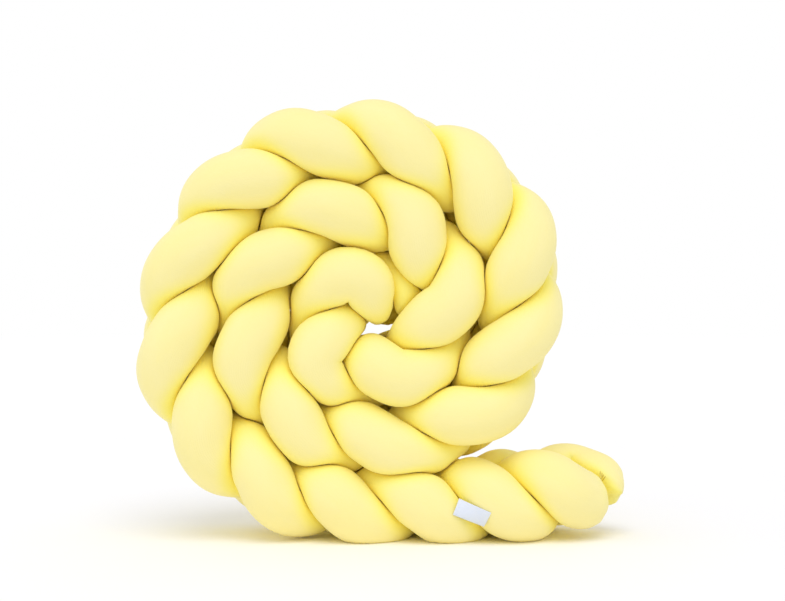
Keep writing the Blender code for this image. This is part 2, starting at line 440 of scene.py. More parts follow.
@dataclass(frozen=True)
class BrushedJersey:
    """Brushed cotton jersey: a weft knit whose face is raised into a short nap.

    The nap hides the stitches and scatters the light, so the cloth is quite matte, with a pale
    bloom where it turns away. The wales only just show, and the nap lies lighter and darker in
    soft patches. Where it lies against another tube it is painted a deeper, more saturated yellow:
    painted shade of the crease.
    """

    name: str = "brushed_cotton_jersey"
    light: str = "#FBF0AC"
    deep: str = "#FBEFA2"
    # the painted shade in the creases between tubes, and the colour of the seam line
    crease_shade_and_seam: str = "#FDF384"
    bloom: str = "#FFFCE8"
    roughness: float = 0.92
    bloom_weight: float = 0.34
    bloom_roughness: float = 0.45
    wale: float = 2.2 * MM  # real wales are 0.9 mm apart, too fine to show
    nap_patch: tuple[float, float] = (24 * MM, 60 * MM)  # around and along a tube
    fibre: float = 1.3 * MM  # real fibres are 0.02 mm thick
    fibre_share: float = 0.35  # of the fibres in the cloth's tone, beside the nap patches
    tone_range: tuple[float, float] = (0.45, 0.9)  # the tones that look deep and light
    relief: float = 0.22 * MM
    wale_relief: float = 0.5  # beside a fibre's relief of 1
    stitch: float = 3.6 * MM
    stitch_relief: float = 2.5
    seam_width: float = 1.1 * MM
    seam_shade: float = 0.6

    def material(self) -> bpy.types.Material:
        """Builds the cloth's nodes.

        Returns:
            The material.
        """
        material, tree = empty_material(self.name)
        cloth = add_node(tree, "ShaderNodeUVMap", uv_map=CLOTH_MAP).outputs["UV"]
        solid = add_node(tree, "ShaderNodeTexCoord").outputs["Object"]

        # soft patches of nap, longer along the tube than around it
        stretched = add_node(tree, "ShaderNodeMapping", {
            "Vector": cloth, "Scale": (1 / self.nap_patch[0], 1 / self.nap_patch[1], 1)})
        patches = add_node(tree, "ShaderNodeTexNoise", {
            "Vector": stretched.outputs["Vector"], "Scale": 1.0, "Detail": 3.0})
        fibres = add_node(tree, "ShaderNodeTexNoise", {
            "Vector": solid, "Scale": 1 / self.fibre, "Detail": 2.0})
        tone = add_node(tree, "ShaderNodeMath", {
            0: fibres.outputs["Fac"], 1: self.fibre_share, 2: patches.outputs["Fac"]},
            operation="MULTIPLY_ADD")
        share = add_node(tree, "ShaderNodeMapRange", {
            "Value": tone.outputs["Value"], "From Min": self.tone_range[0],
            "From Max": self.tone_range[1]}, clamp=True)
        colour = add_node(tree, "ShaderNodeMix", {
            0: share.outputs["Result"], 6: linear(self.deep), 7: linear(self.light)},
            data_type="RGBA")

        # painted shade: the cloth is mixed towards a deeper, more saturated yellow where tubes lie
        # against each other
        pressed = add_node(tree, "ShaderNodeAttribute", attribute_name=CREASE_SHADE_MASK)
        colour = add_node(tree, "ShaderNodeMix", {
            0: pressed.outputs["Fac"], 6: colour.outputs[2], 7: linear(self.crease_shade_and_seam)},
            data_type="RGBA")

        # the closing seam: a deeper line, with a ladder of small stitches across it
        distance = add_node(tree, "ShaderNodeAttribute", attribute_name=SEAM_DISTANCE)
        seam = add_node(tree, "ShaderNodeMapRange", {
            "Value": distance.outputs["Fac"], "From Max": self.seam_width,
            "To Min": 1.0, "To Max": 0.0}, interpolation_type="SMOOTHSTEP")
        shade = add_node(tree, "ShaderNodeMath", {
            0: seam.outputs["Result"], 1: self.seam_shade}, operation="MULTIPLY")
        colour = add_node(tree, "ShaderNodeMix", {
            0: shade.outputs["Value"], 6: colour.outputs[2], 7: linear(self.crease_shade_and_seam)},
            data_type="RGBA")
        rungs = add_node(tree, "ShaderNodeTexWave", {
            "Vector": cloth, "Scale": band_scale(self.stitch)},
            wave_profile="SIN", bands_direction="Y")
        ladder = add_node(tree, "ShaderNodeMath", {
            0: rungs.outputs["Fac"], 1: seam.outputs["Result"]}, operation="MULTIPLY")

        # wales as soft ridges along the tube, broken up by the fibres
        wales = add_node(tree, "ShaderNodeTexWave", {
            "Vector": cloth, "Scale": band_scale(self.wale), "Distortion": 1.5,
            "Detail": 2.0, "Detail Scale": 2.0}, wave_profile="SIN", bands_direction="X")
        height = add_node(tree, "ShaderNodeMath", {
            0: wales.outputs["Fac"], 1: self.wale_relief, 2: fibres.outputs["Fac"]},
            operation="MULTIPLY_ADD")
        height = add_node(tree, "ShaderNodeMath", {
            0: ladder.outputs["Value"], 1: self.stitch_relief, 2: height.outputs["Value"]},
            operation="MULTIPLY_ADD")
        bump = add_node(tree, "ShaderNodeBump", {
            "Height": height.outputs["Value"], "Strength": 0.6, "Distance": self.relief})

        finish_material(tree, Base_Color=colour.outputs[2], Roughness=self.roughness,
                        Specular_IOR_Level=0.2, Sheen_Weight=self.bloom_weight,
                        Sheen_Roughness=self.bloom_roughness, Sheen_Tint=linear(self.bloom),
                        Normal=bump.outputs["Normal"])
        return material


@dataclass(frozen=True)
class SatinRibbon:
    """Polyester satin ribbon: long warp floats laid side by side, with a flat woven edge.

    The floats give a soft gloss along the ribbon and very fine lines, and the edge is a little
    duller.
    """

    name: str = "polyester_satin_ribbon"
    face: str = "#E5ECFB"
    line: str = "#D8E0F4"
    thread: float = 0.8 * MM  # real warp threads are 0.2 mm apart
    relief: float = 0.05 * MM

    def material(self) -> bpy.types.Material:
        """Builds the ribbon's nodes.

        Returns:
            The material.
        """
        material, tree = empty_material(self.name)
        cloth = add_node(tree, "ShaderNodeUVMap", uv_map=CLOTH_MAP).outputs["UV"]
        threads = add_node(tree, "ShaderNodeTexWave", {
            "Vector": cloth, "Scale": band_scale(self.thread), "Distortion": 0.6,
            "Detail": 1.0}, wave_profile="SIN", bands_direction="Y")
        colour = add_node(tree, "ShaderNodeMix", {
            0: threads.outputs["Fac"], 6: linear(self.line), 7: linear(self.face)},
            data_type="RGBA")
        bump = add_node(tree, "ShaderNodeBump", {
            "Height": threads.outputs["Fac"], "Strength": 0.5, "Distance": self.relief})
        finish_material(tree, Base_Color=colour.outputs[2], Roughness=0.5,
                        Specular_IOR_Level=0.4, Sheen_Weight=0.2, Sheen_Roughness=0.3,
                        Normal=bump.outputs["Normal"])
        return material


@dataclass(frozen=True)
class SewingThread:
    """Spun polyester sewing thread: two plies in a tight twist, dull, with slanting ridges."""

    name: str
    light: str
    dark: str
    twist: float = 0.7 * MM  # along the thread for each ply
    relief: float = 0.08 * MM

    def material(self) -> bpy.types.Material:
        """Builds the thread's nodes.

        Returns:
            The material.
        """
        material, tree = empty_material(self.name)
        thread = add_node(tree, "ShaderNodeUVMap", uv_map=CLOTH_MAP).outputs["UV"]
        plies = add_node(tree, "ShaderNodeTexWave", {
            "Vector": thread, "Scale": band_scale(self.twist)},
            wave_profile="SIN", bands_direction="DIAGONAL")
        colour = add_node(tree, "ShaderNodeMix", {
            0: plies.outputs["Fac"], 6: linear(self.dark), 7: linear(self.light)},
            data_type="RGBA")
        bump = add_node(tree, "ShaderNodeBump", {
            "Height": plies.outputs["Fac"], "Strength": 0.7, "Distance": self.relief})
        finish_material(tree, Base_Color=colour.outputs[2], Roughness=0.7,
                        Specular_IOR_Level=0.35, Normal=bump.outputs["Normal"])
        return material


@dataclass(frozen=True)
class StudioPaper:
    """Matt white background paper: it gives no gloss, only a soft shadow."""

    name: str = "matt_background_paper"
    colour: str = "#FCFCFF"
    mottle: str = "#FAFAFE"

    def material(self) -> bpy.types.Material:
        """Builds the paper's nodes, with a very faint unevenness.

        Returns:
            The material.
        """
        material, tree = empty_material(self.name)
        solid = add_node(tree, "ShaderNodeTexCoord").outputs["Object"]
        patches = add_node(tree, "ShaderNodeTexNoise", {"Vector": solid, "Scale": 3.0})
        colour = add_node(tree, "ShaderNodeMix", {
            0: patches.outputs["Fac"], 6: linear(self.colour), 7: linear(self.mottle)},
            data_type="RGBA")
        finish_material(tree, Base_Color=colour.outputs[2], Roughness=1.0, Specular_IOR_Level=0.0)
        return material


# ----------------- The plait and its tubes ------------------


@dataclass(frozen=True)
class Plait:
    """The rolled plait's middle line, and how far a tube swings from it."""

    crossings: tuple[Crossing, ...] = CROSSINGS
    first_row: int = -1
    edge_swing: float = 52 * MM  # from the middle line to each long edge
    face_swing: float = 14 * MM  # and to each broad face, less where crossings are closer than this:
    full_pitch: float = 75 * MM

    def spline(self, at: np.ndarray) -> np.ndarray:
        """Catmull-Rom curve through the crossings, straight past the last ones.

        Args:
            at: Places along the plait, in crossings.

        Returns:
            The points' x and z.
        """
        rows = np.array(self.crossings)
        rows = np.vstack([2 * rows[0] - rows[1], rows, 2 * rows[-1] - rows[-2]])
        last = len(rows) - 2.000001  # just short of the place where the last stretch ends
        at = np.clip(at - self.first_row + 1, 1, last)
        row = np.floor(at).astype(int)
        t = (at - row)[:, None]
        a, b, c, d = (rows[row + step] for step in (-1, 0, 1, 2))
        return 0.5 * (2 * b + (c - a) * t + (2 * a - 5 * b + 4 * c - d) * t**2
                      + (3 * b - a - 3 * c + d) * t**3)

    def face_swings(self, at: np.ndarray) -> np.ndarray:
        """The swing towards the broad faces, which shrinks with the pitch of the crossings.

        Args:
            at: Places along the plait, in crossings.

        Returns:
            The swing at each place.
        """
        near = 0.3
        pitch = np.linalg.norm(self.spline(at + near) - self.spline(at - near), axis=1) / (2 * near)
        return self.face_swing * np.minimum(pitch / self.full_pitch, 1)

    def middle_line(self, at: np.ndarray) -> tuple[np.ndarray, np.ndarray]:
        """Points of the middle line, and the way out from the roll there.

        Args:
            at: Places along the plait, in crossings.

        Returns:
            The points and the unit ways out, each as count by x and z.
        """
        step = 0.02
        along = unit(self.spline(at + step) - self.spline(at - step))
        return self.spline(at), np.stack([-along[:, 1], along[:, 0]], axis=1)


@dataclass(frozen=True)
class Rings:
    """The rays from a tube's middle line on which its skin is worked out, ring by ring."""

    places: np.ndarray  # the rings' distances from the tail tip
    length: float  # of the tube
    angles: np.ndarray  # of the sides from the depth direction, rising from 0
    points: np.ndarray  # the rings' middles
    rays: np.ndarray  # unit rays square to the tube, as rings by sides by xyz

    def sectors(self) -> np.ndarray:
        """The angle from each side to the next one."""
        return np.diff(np.append(self.angles, TURN))

    def seam_angles(self) -> np.ndarray:
        """The angle between each side and the seam, which lies at 0."""
        return np.minimum(self.angles, TURN - self.angles)

    def skin(self, radii: np.ndarray) -> np.ndarray:
        """The points at these distances along the rays."""
        return self.points[:, None] + self.rays * radii[:, :, None]


@dataclass
class StuffedTube:
    """One tube of the plait.

    Ends are in crossings along the plait. A gather is what is left of the tube's swing there.
    """

    name: str
    node: str
    first: int  # the crossing where the tube first comes to the near edge
    tail_end: float
    tail_gather: float
    eye_end: float
    eye_gather: float
    tail_shift: tuple[float, float, float] = (0.0, 0.0, 0.0)  # how far its tail tip is pushed aside
    plait: Plait = field(default_factory=Plait)
    gather_length: float = 0.7  # in crossings

    depth: float = 65 * MM  # of the free tube, from edge to edge of the plait
    thickness: float = 61 * MM  # and from face to face
    squeeze: float = 12.0  # how sharply the skin turns where it is pressed flat
    bulge: float = 0.2  # how much of its filling a pressed tube keeps there: 0.5 is all of it
    bulge_reach: float = 8 * MM  # how far along the tube the filling is pushed aside
    most_bulge: float = 1.3
    fold: float = 5.0 * MM  # reach over which the skin rounds off a corner between neighbours
    relaxing: float = 6.0 * MM  # reach over which the creases of tight bends even out
    gap: float = 0.4 * MM
    own_turn: float = 28 * MM  # the tube's own length within this doesn't press on itself
    least_facing: float = 1e-9  # keeps a ray that turns away from a neighbour free of it
    tail_rounding: float = 36 * MM
    eye_rounding: float = 26 * MM

    ring_spacing: float = 3.4 * MM
    end_rings: tuple[float, ...] = (0.0003, 0.0012, 0.0027, 0.0048, 0.0075, 0.0110, 0.0150)
    line_spacing: float = 3.0 * MM
    fine_points: int = 4000  # of the line on which lengths are measured
    sides: int = 66
    seam_sides: tuple[float, ...] = (0.7 * MM, 1.5 * MM, 2.6 * MM)  # columns beside the seam

    shade_start: float = 0.4  # free radius over pressed one at which the painted crease shade starts
    shade_span: float = 0.65
    shade_power: float = 1.3
    lump: float = 0.35 * MM  # unevenness of the filling, as waves of this height
    lump_waves: tuple[tuple[float, int, float], ...] = (  # length along, turns around, phase
        (61 * MM, 1, 0.0), (38 * MM, 2, 1.9), (27 * MM, 1, 4.1), (49 * MM, 3, 2.6))
    seam_depth: float = 0.7 * MM
    seam_width: float = 1.2 * MM
    folds: int = 11  # gathers of the skin round a tip
    fold_depth: float = 0.10  # of the radius
    fold_length: float = 13 * MM

    def near_tail(self, at: np.ndarray) -> np.ndarray:
        """1 at the tail tip, falling to 0 along the gathered stretch."""
        return eased(1 - (at - self.tail_end) / self.gather_length)

    def gather(self, at: np.ndarray) -> np.ndarray:
        """The share of its swing that is left as the tube comes in to its ends.

        Args:
            at: Places along the plait, in crossings.

        Returns:
            1 along the tube, easing to the gathers at its tips.
        """
        at_tail = (1 - self.tail_gather) * self.near_tail(at)
        at_eye = (1 - self.eye_gather) * eased(1 - (self.eye_end - at) / self.gather_length)
        return 1 - at_tail - at_eye

    def line(self, at: np.ndarray) -> np.ndarray:
        """Points of the tube's own middle line.

        It swings in depth as a cosine with a period of three crossings, and towards the broad
        faces as a sine of half that period.

        Args:
            at: Places along the plait, in crossings.

        Returns:
            The points, as count by xyz.
        """
        points, out = self.plait.middle_line(at)
        turn = TURN * (at - self.first) / 3
        swing = self.gather(at)
        points = points - (self.plait.face_swings(at) * swing * np.sin(2 * turn))[:, None] * out
        depth = -self.plait.edge_swing * swing * np.cos(turn)
        return upright(points, depth) + self.near_tail(at)[:, None] * np.array(self.tail_shift)

    def stations(
        self,
        spacing: float,
        end_rings: tuple[float, ...] = (),
    ) -> tuple[np.ndarray, np.ndarray, float]:
        """Where rings lie along the tube.

        Args:
            spacing: The distance between two rings.
            end_rings: Distances of the closer rings from each tip.

        Returns:
            The rings' places in crossings, their distance from the tail tip, and the tube's length.
        """
        fine = np.linspace(self.tail_end, self.eye_end, self.fine_points)
        run = arc_run(self.line(fine))
        length = run[-1]
        inset = 2 * end_rings[-1] - end_rings[-2] if end_rings else 0.0
        count = int(round((length - 2 * inset) / spacing)) + 1
        ends = np.array(end_rings)
        places = np.concatenate([ends, np.linspace(inset, length - inset, count), length - ends[::-1]])
        return np.interp(places, run, fine), places, length

    def side_angles(self) -> np.ndarray:
        """The angle of each side from the depth direction, with close columns beside the seam."""
        beside = np.array(self.seam_sides) / (self.depth / 2)
        return np.sort(np.concatenate([around_circle(self.sides), beside, TURN - beside]))

    def rings(self) -> Rings:
        """Sets up the rays, each ring square to the tube's own heading.

        Returns:
            The rings, from the tail to the eye.
        """
        at, places, length = self.stations(self.ring_spacing, self.end_rings)
        step = 0.01
        along = unit(self.line(at + step) - self.line(at - step))
        angles = self.side_angles()
        depth = np.array([0.0, 1.0, 0.0])
        first = unit(depth - along * (along @ depth)[:, None])
        second = np.cross(along, first)
        turn = angles[None, :, None]
        rays = first[:, None] * np.cos(turn) + second[:, None] * np.sin(turn)
        return Rings(places, length, angles, self.line(at), rays)

    def pressing_lines(
        self,
        rings: Rings,
        neighbours: list["StuffedTube"],
    ) -> list[tuple[np.ndarray, np.ndarray | None]]:
        """The lines of points that a tube is pressed by: its own other turns and its neighbours.

        Args:
            rings: The tube's rings.
            neighbours: The other tubes.

        Returns:
            The lines, each with a mask, as rings by points, of those that don't press, or None.
        """
        at, places, _ = self.stations(self.line_spacing)
        near = np.abs(places[None] - rings.places[:, None]) < self.own_turn
        return [(self.line(at), near)] + [
            (other.line(other.stations(self.line_spacing)[0]), None) for other in neighbours]

    def pressed_radii(
        self,
        rings: Rings,
        lines: list[tuple[np.ndarray, np.ndarray | None]],
    ) -> np.ndarray:
        """How far each ray runs before it meets the middle plane to any neighbouring point.

        The plane half way to a point at the offset a is met by the unit ray r at the distance
        a squared over twice r dot a.

        Args:
            rings: The tube's rings.
            lines: The lines of points that press, with their masks.

        Returns:
            The distances, as rings by sides, less half the gap.
        """
        block = 64  # rings at a time, so that the arrays stay small
        limit = np.full(rings.rays.shape[:2], np.inf)
        for line, near in lines:
            for start in range(0, len(limit), block):
                part = slice(start, start + block)
                apart = line[None] - rings.points[part, None]
                facing = np.maximum(rings.rays[part] @ apart.transpose(0, 2, 1), self.least_facing)
                reach = (apart**2).sum(axis=2)[:, None] / (2 * facing)
                if near is not None:
                    reach = np.where(near[part, None], np.inf, reach)
                limit[part] = np.minimum(limit[part], reach.min(axis=2))
        return limit - self.gap / 2

    def bell_weights(self, rings: Rings, reach: float) -> tuple[np.ndarray, np.ndarray]:
        """Weights of a bell curve over the rings and over the sides, each row adding up to 1.

        Args:
            rings: The tube's rings.
            reach: The curve's standard deviation along the skin.

        Returns:
            The weights as rings by rings, and as sides by sides.
        """
        turn = np.abs(rings.angles[:, None] - rings.angles)
        turn = np.minimum(turn, TURN - turn) * self.depth / 2
        around = bell(turn, reach) * rings.sectors()
        along = bell(rings.places[:, None] - rings.places, reach) * np.gradient(rings.places)
        return (along / along.sum(axis=1, keepdims=True),
                around / around.sum(axis=1, keepdims=True))

    def rounded(self, pressed: np.ndarray, rings: Rings) -> np.ndarray:
        """Rounds the corners between neighbours: one over the radius is averaged by a bell curve."""
        along, around = self.bell_weights(rings, self.fold)
        return np.minimum(pressed, 1 / (along @ (1 / pressed) @ around.T))

    def relaxed(self, skin: np.ndarray, rings: Rings) -> np.ndarray:
        """Evens out the creases where the skin folds on the inner side of a tight bend.

        The skin is averaged with a bell curve, once with a weight of two and once more with a
        weight of minus one, so that its broad shape keeps its size. No point moves outwards, and
        the tips stay as they are.

        Args:
            skin: The places, as rings by sides by xyz.
            rings: The tube's rings.

        Returns:
            The relaxed places, as rings by sides by xyz.
        """
        along, around = self.bell_weights(rings, self.relaxing)
        once = np.einsum("ab,bjc,kj->akc", along, skin, around, optimize=True)
        twice = np.einsum("ab,bjc,kj->akc", along, once, around, optimize=True)
        places = rings.places
        inside = eased(np.minimum(places, places[-1] - places) / self.tail_rounding)
        moved = inside[:, None, None] * (2 * once - twice - skin)
        outward = np.maximum((moved * rings.rays).sum(axis=2, keepdims=True), 0)
        return skin + moved - outward * rings.rays

    def soft_minimum(self, free: np.ndarray, pressed: np.ndarray) -> np.ndarray:
        """The lesser of two radii, with a soft turn from one to the other."""
        return (free**-self.squeeze + pressed**-self.squeeze) ** (-1 / self.squeeze)

    def free_radii(self, pressed: np.ndarray, rings: Rings) -> np.ndarray:
        """The radii of the free section, larger where a pressed one has lost area to neighbours.

        The section is an ellipse, times a power of its area over the pressed one's, which is
        evened out along the tube, and with the lumps of the filling.

        Args:
            pressed: The pressed radii, as rings by sides.
            rings: The tube's rings.

        Returns:
            The free radii, as rings by sides.
        """
        across, through = np.cos(rings.angles), np.sin(rings.angles)
        free = 1 / np.hypot(across * 2 / self.depth, through * 2 / self.thickness)
        sectors = rings.sectors()
        lost = (free**2 @ sectors) / (self.soft_minimum(free, pressed) ** 2 @ sectors)
        weight = bell(rings.places[:, None] - rings.places, self.bulge_reach)
        share = weight @ lost**self.bulge / weight.sum(axis=1)
        return free * np.minimum(share, self.most_bulge)[:, None] + self.lumps(rings)

    def lumps(self, rings: Rings) -> np.ndarray:
        """Unevenness of the filling: a sum of slow waves along and around the tube.

        Args:
            rings: The tube's rings.

        Returns:
            What the free radius gains, as rings by sides.
        """
        start = 2.0 * self.first
        return self.lump * sum(
            np.sin(TURN * rings.places[:, None] / length + turns * rings.angles + phase + start)
            for length, turns, phase in self.lump_waves) / 2

    def crease_shade_share(self, free: np.ndarray, pressed: np.ndarray) -> np.ndarray:
        """0 where the free radius is well within the pressed one, easing to 1 where they meet."""
        # the share of painted crease shade that the cloth gets
        return eased((free / pressed - self.shade_start) / self.shade_span) ** self.shade_power

    def gathers(self, distance: np.ndarray, angles: np.ndarray) -> np.ndarray:
        """Share of the radius that the folds round a tip take away, fading along the tube."""
        wave = 0.5 + 0.5 * np.cos(self.folds * angles + np.sin(3 * angles + self.first))
        return self.fold_depth * wave * np.exp(-distance / self.fold_length)[:, None]

    def closed(self, radii: np.ndarray, rings: Rings) -> np.ndarray:
        """Closes the tube at its ends as a quarter ellipse, with folds round each tip.

        Args:
            radii: The radii, as rings by sides.
            rings: The tube's rings.

        Returns:
            The radii, falling to 0 at each tip.
        """
        tips = (rings.places, rings.length - rings.places)
        taper = np.ones(len(rings.places))
        for distance, rounding in zip(tips, (self.tail_rounding, self.eye_rounding)):
            taper *= np.sqrt(1 - (1 - np.clip(distance / rounding, 0, 1)) ** 2)
        at_tail, at_eye = (self.gathers(distance, rings.angles) for distance in tips)
        return radii * taper[:, None] * (1 - at_tail - at_eye)

    def build(self, neighbours: list["StuffedTube"]) -> bpy.types.Object:
        """Builds the tube's skin.

        The radius is a soft minimum of the free one and the pressed one, then tapered at the
        ends, gathered round the tips, drawn in at the seam and cut off by the floor.

        Args:
            neighbours: The other tubes.

        Returns:
            The closed mesh object.
        """
        rings = self.rings()
        lines = self.pressing_lines(rings, neighbours)
        pressed = self.rounded(self.pressed_radii(rings, lines), rings)
        free = self.free_radii(pressed, rings)
        plain = self.soft_minimum(free, pressed)
        radii = self.closed(plain, rings)
        seam = radii * rings.seam_angles()
        radii = radii - self.seam_depth * np.exp(-((seam / self.seam_width) ** 2)) * (radii / free)
        skin = self.relaxed(rings.skin(plain), rings) + rings.rays * (radii - plain)[:, :, None]
        skin[:, :, 2] = np.maximum(skin[:, :, 2], 0)

        around = np.append(rings.angles, TURN) * (self.depth + self.thickness) / 4
        uv = np.stack(np.broadcast_arrays(around, rings.places[:, None]), axis=-1)
        tips = self.line(np.array([self.tail_end, self.eye_end]))
        piece = grid_object(self.name, skin, uv, wraps=True, tips=tips)
        # where the cloth gets its painted crease shade
        set_attribute(piece, CREASE_SHADE_MASK, np.append(self.crease_shade_share(free, pressed), [0.5, 0.5]))
        set_attribute(piece, SEAM_DISTANCE, np.append(seam, [0.0, 0.0]))
        return piece

    def dress(self, piece: bpy.types.Object, cloth: bpy.types.Material) -> None:
        """Args:
            piece: The tube's skin.
            cloth: Its cloth.
        """
        piece.data.materials.append(cloth)
        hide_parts(self.node)
        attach(piece, BODY)


TUBES = (
    StuffedTube("tube_a", "strand_a", 0, tail_end=-0.41, tail_gather=0.35,
                eye_end=24.62, eye_gather=0.90, tail_shift=(5 * MM, 0.0, 0.0)),
    StuffedTube("tube_b", "strand_b", 1, tail_end=-0.63, tail_gather=0.15,
                eye_end=24.95, eye_gather=0.30, tail_shift=(3 * MM, -20 * MM, 15 * MM)),
    StuffedTube("tube_c", "strand_c", 2, tail_end=-0.24, tail_gather=0.60,
                eye_end=24.85, eye_gather=0.60, tail_shift=(2 * MM, 8 * MM, 3 * MM)),
)


class StitchRow(NamedTuple):
    """A few hand stitches side by side across the crease between two tubes."""

    side: Side
    x: float
    z: float
    heading: float  # of a stitch, in degrees from +X towards +Z
    count: int


@dataclass
class HandStitching:
    """The hand stitches that close the plait's ends: doubled thread drawn over the crease."""

    rows: tuple[StitchRow, ...] = (
        StitchRow(Side.NEAR, 0.227, 0.064, 45.0, 4),
        StitchRow(Side.FAR, 0.194, 0.050, 50.0, 5),
        StitchRow(Side.FAR, -0.0145, 0.196, 38.0, 4),
    )
    radius: float = 0.45 * MM
    pitch: float = 2.3 * MM
    length: float = 6.5 * MM
    slant: float = 0.25  # run along the crease over run across it
    points: int = 11
    clear: float = 300 * MM  # from the middle plane to where the looks for the cloth start
    crown: float = 1.7  # how far a stitch stands out, in radii

    def paths(self, row: StitchRow, tubes: list[bpy.types.Object]) -> np.ndarray:
        """Lays the stitches of one row, each drawn tight from lobe to lobe.

        Args:
            row: Where the row lies.
            tubes: The skins that it is sewn through.

        Returns:
            The stitches, as stitches by points by xyz.
        """
        turn = math.radians(row.heading)
        across = np.array([math.cos(turn), math.sin(turn)])
        along = np.array([-across[1], across[0]])
        part = np.linspace(-0.5, 0.5, self.points)
        offset = self.pitch * (np.arange(row.count) - (row.count - 1) / 2)
        flat = (np.array([row.x, row.z]) + offset[:, None, None] * along
                + part[:, None] * self.length * (across + self.slant * along))
        starts = upright(flat, -row.side.value * self.clear).reshape(-1, 3)
        depths = [row.side.value * depth_behind(tube, starts, row.side) for tube in tubes]
        depth = taut(part * self.length, np.minimum.reduce(depths).reshape(flat.shape[:2]))
        proud = stitch_rise(part, self.radius, self.crown)
        return upright(flat, row.side.value * (depth - proud))

    def build(self, tubes: list[bpy.types.Object]) -> bpy.types.Object:
        """Builds all the stitches as one object."""
        paths = np.concatenate([self.paths(row, tubes) for row in self.rows])
        return threads_object("hand_stitches", paths, self.radius)

    def dress(self, piece: bpy.types.Object, thread: bpy.types.Material) -> None:
        """Gives the stitches their thread and fixes them to the roll.

        Args:
            piece: The stitches.
            thread: Their thread.
        """
        piece.data.materials.append(thread)
        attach(piece, BODY)


# ------------------------ The label -------------------------


@dataclass
class RibbonLabel:
    """A blank satin ribbon, folded in two and sewn on across the crease between two lobes."""

    length: float = 34 * MM
    width: float = 17 * MM
    ply: float = 0.3 * MM
    between: float = 0.25 * MM  # gap between its two layers
    fold_rows: int = 5
    centre: Crossing = Crossing(0.088, 0.033)
    slope: float = -0.42  # rise over run of its long side
    clearance: float = 0.35 * MM
    clear: float = 50 * MM  # from the near edge to where the looks for the lobes start
    step: float = 1.0 * MM
    reach: int = 6  # steps past its edges over which the lobes hold it up
    sewn_row: int = 3  # steps from its open end to the stitches that hold it
    stitches: int = 5
    stitch: float = 2.1 * MM
    stitch_points: int = 7
    thread: float = 0.16 * MM  # half the thread's thickness
    crown: float = 1.6  # how far a stitch stands out, in radii of its thread

    def drape(self, tubes: list[bpy.types.Object]) -> np.ndarray:
        """The surface that the ribbon's back lies on, drawn tight over the lobes.

        Args:
            tubes: The pieces under the ribbon.

        Returns:
            The points, as places along by places across by xyz.
        """
        cells = (round(self.length / self.step), round(self.width / self.step))
        run, rise = (self.step * (np.arange(-self.reach, count + self.reach + 1) - count / 2)
                     for count in cells)
        across = np.array([1.0, self.slope]) / math.hypot(1.0, self.slope)
        upward = np.array([-across[1], across[0]])
        flat = np.array(self.centre) + run[:, None, None] * across + rise[None, :, None] * upward
        starts = upright(flat, CAD_BOX[0].y - self.clear).reshape(-1, 3)
        depths = [depth_behind(piece, starts) for piece in tubes]
        lobes = np.minimum.reduce(depths).reshape(flat.shape[:2])
        depth = np.where(np.isfinite(lobes), lobes, lobes[np.isfinite(lobes)].max())
        lobes = depth
        for _ in range(2):
            depth = taut(run, depth.T).T
            depth = taut(rise, depth)
        inside = slice(self.reach, -self.reach)
        lift = (lobes - depth)[inside, inside].min() - self.clearance
        return upright(flat, depth + lift)[inside, inside]

    def running_stitches(self, layer: np.ndarray) -> bpy.types.Object:
        """Sews a row of running stitches across the ribbon near its open end.

        Args:
            layer: The front layer's middle, as places along by places across by xyz.

        Returns:
            The stitches as one object.
        """
        row = layer[self.sewn_row]
        run = arc_run(row)
        pitch = run[-1] / self.stitches
        part = np.linspace(-0.5, 0.5, self.stitch_points)
        at = pitch * (np.arange(self.stitches) + 0.5)[:, None] + part * self.stitch
        paths = np.stack([np.interp(at, run, row[:, axis]) for axis in range(3)], axis=-1)
        proud = self.ply / 2 + stitch_rise(part, self.thread, self.crown)
        paths[..., 1] -= proud
        return threads_object("label_stitches", paths, self.thread)

    def build(self, tubes: list[bpy.types.Object]) -> tuple[bpy.types.Object, bpy.types.Object]:
        """Builds the ribbon as one strip: the back layer, the fold and the front layer.

        Args:
            tubes: The pieces under the ribbon.

        Returns:
            The ribbon, with a live Solidify for its thickness, and the stitches that hold it.
        """
        back = self.drape(tubes)
        pitch = self.ply + self.between
        turn = np.linspace(-np.pi / 2, np.pi / 2, self.fold_rows + 2)[1:-1]
        outward = unit(back[-1] - back[-2])
        toward = np.array([0.0, -1.0, 0.0])
        middle = back[-1] + toward * (self.ply + pitch) / 2
        fold = (middle[None] + outward[None] * (np.cos(turn) * pitch / 2)[:, None, None]
                + toward * (np.sin(turn) * pitch / 2)[:, None, None])
        lower = back + toward * self.ply / 2
        upper = lower + toward * pitch
        strip = np.concatenate([lower, fold, upper[::-1]])
        run = arc_run(strip[:, strip.shape[1] // 2])
        rise = self.step * np.arange(strip.shape[1])
        uv = np.stack(np.broadcast_arrays(run[:, None], rise), axis=-1)
        piece = grid_object("label_ribbon", strip, uv)
        wall = piece.modifiers.new("ply", "SOLIDIFY")
        wall.thickness = self.ply
        wall.offset = 0.0
        return piece, self.running_stitches(upper)

    def dress(
        self,
        piece: bpy.types.Object,
        sewing: bpy.types.Object,
        cloth: bpy.types.Material,
        thread: bpy.types.Material,
        under: list[str],
    ) -> None:
        """Gives ribbon and stitches their looks, fixes them to the roll and hides the label's node.

        Args:
            piece: The ribbon.
            sewing: The stitches that hold it.
            cloth: The ribbon's cloth.
            thread: The stitches' thread.
            under: The names of the pieces that the ribbon lies on. Not used.
        """
        piece.data.materials.append(cloth)
        sewing.data.materials.append(thread)
        for part in (piece, sewing):
            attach(part, BODY)
        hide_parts("label")


# ------------------------ The studio ------------------------


class Softbox(NamedTuple):
    """A broad far light that shines towards the middle of the roll."""

    name: str
    place: tuple[float, float, float]
    breadth: float  # in degrees, seen from the roll
    strength: float
    colour: str


